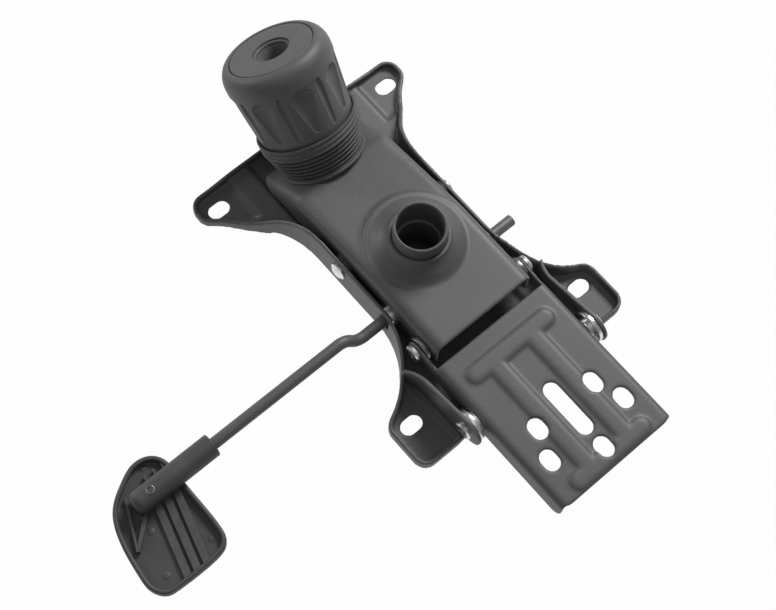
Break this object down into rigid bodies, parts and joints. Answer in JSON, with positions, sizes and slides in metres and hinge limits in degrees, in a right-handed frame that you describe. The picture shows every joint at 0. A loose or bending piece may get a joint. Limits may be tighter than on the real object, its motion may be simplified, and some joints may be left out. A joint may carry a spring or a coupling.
{
  "type": "office chair tilt mechanism",
  "caption": "Pressed steel tilt mechanism for an office chair: seat plate, sprung housing with a gas lift socket, back bar bracket, tension knob and side lever.",
  "frame": {"origin": "gas lift axis at the plane where the seat plate meets the seat", "axes": "+Z out of the underside of the chair along the gas lift, +Y to the back of the chair, +X to the lever's side"},
  "size_m": [0.3625, 0.3696, 0.1114],
  "materials": {
    "coated_steel": "satin black powder coat",
    "zinc_hardware": "bright zinc plate",
    "bush_plastic": "moulded",
    "bellows_rubber": "matt moulded rubber",
    "spring_steel": "oiled spring wire",
    "knob_plastic": "fine matt grain",
    "lever_plastic": "fine matt grain"
  },
  "bodies": {
    "seat": {"seat_plate": "coated_steel", "left_rear_lug": "coated_steel", "right_rear_lug": "coated_steel", "main_axle": "zinc_hardware", "axle_heads": "zinc_hardware", "rear_pivot_bolts": "zinc_hardware", "rear_pivot_spacers": "zinc_hardware", "rear_pivot_collars": "zinc_hardware", "spring_anchor": "coated_steel"},
    "base": {"housing": "coated_steel", "socket_tube": "coated_steel", "socket_bridge": "coated_steel", "axle_bushes": "bush_plastic", "lever_bushes": "zinc_hardware", "front_pivot_bolts": "zinc_hardware", "front_pivot_spacers": "zinc_hardware", "front_pivot_collars": "zinc_hardware", "spring_seat": "coated_steel", "bellows": "bellows_rubber", "tension_spring": "spring_steel"},
    "back": {"back_bracket": "coated_steel"},
    "puller": {"tension_bolt": "zinc_hardware", "bolt_cross_bar": "zinc_hardware"},
    "carrier": {"thrust_washer": "zinc_hardware"},
    "knob": {"tension_knob": "knob_plastic", "knob_cap": "knob_plastic", "knob_nut": "zinc_hardware"},
    "lock": {"detent_clip": "zinc_hardware"},
    "lever": {"lever_rod": "coated_steel", "release_tongue": "coated_steel", "lever_sleeve": "lever_plastic", "lever_paddle": "lever_plastic", "sleeve_rivet": "zinc_hardware"}
  },
  "joints": [
    {"name": "tilt", "type": "hinge", "parent": "seat", "child": "base", "pos_m": [0, -0.024, 0.024], "axis": [-1, 0, 0], "range_deg": [0, 8], "stiffness_Nm_per_rad": 60, "springref_deg": -17.19, "deforming": ["bellows", "tension_spring"]},
    {"name": "recline", "type": "hinge", "parent": "base", "child": "back", "pos_m": [0, 0.0525, 0.0285], "axis": [1, 0, 0], "range_deg": [0, 18.4]},
    {"name": "bolt_pull", "type": "slide", "parent": "base", "child": "puller", "axis": [0, 0.6018, -0.7986], "range_m": [0, 0.0085], "deforming": ["bellows", "tension_spring"]},
    {"name": "knob_travel", "type": "slide", "parent": "puller", "child": "carrier", "axis": [0, -0.6018, 0.7986], "range_m": [-0.0045, 0.0045], "deforming": ["bellows", "tension_spring"]},
    {"name": "knob_turn", "type": "hinge", "parent": "carrier", "child": "knob", "pos_m": [0, -0.097, 0.0205], "axis": [0, -0.6018, 0.7986], "range_deg": [-1085, 1085], "deforming": ["bellows", "tension_spring"]},
    {"name": "lock_push", "type": "slide", "parent": "base", "child": "lock", "axis": [1, 0, 0], "range_m": [-0.008, 0]},
    {"name": "lever_lift", "type": "hinge", "parent": "lock", "child": "lever", "pos_m": [0, 0.0215, 0.023], "axis": [-1, 0, 0], "range_deg": [0, 9], "stiffness_Nm_per_rad": 3, "springref_deg": -5.73}
  ],
  "couplings": [
    {"joint": "recline", "follows": "tilt", "ratio": 2.289},
    {"joint": "bolt_pull", "follows": "tilt", "m_per_rad": 0.0589},
    {"joint": "knob_turn", "follows": "knob_travel", "rad_per_m": 4188.8}
  ]
}
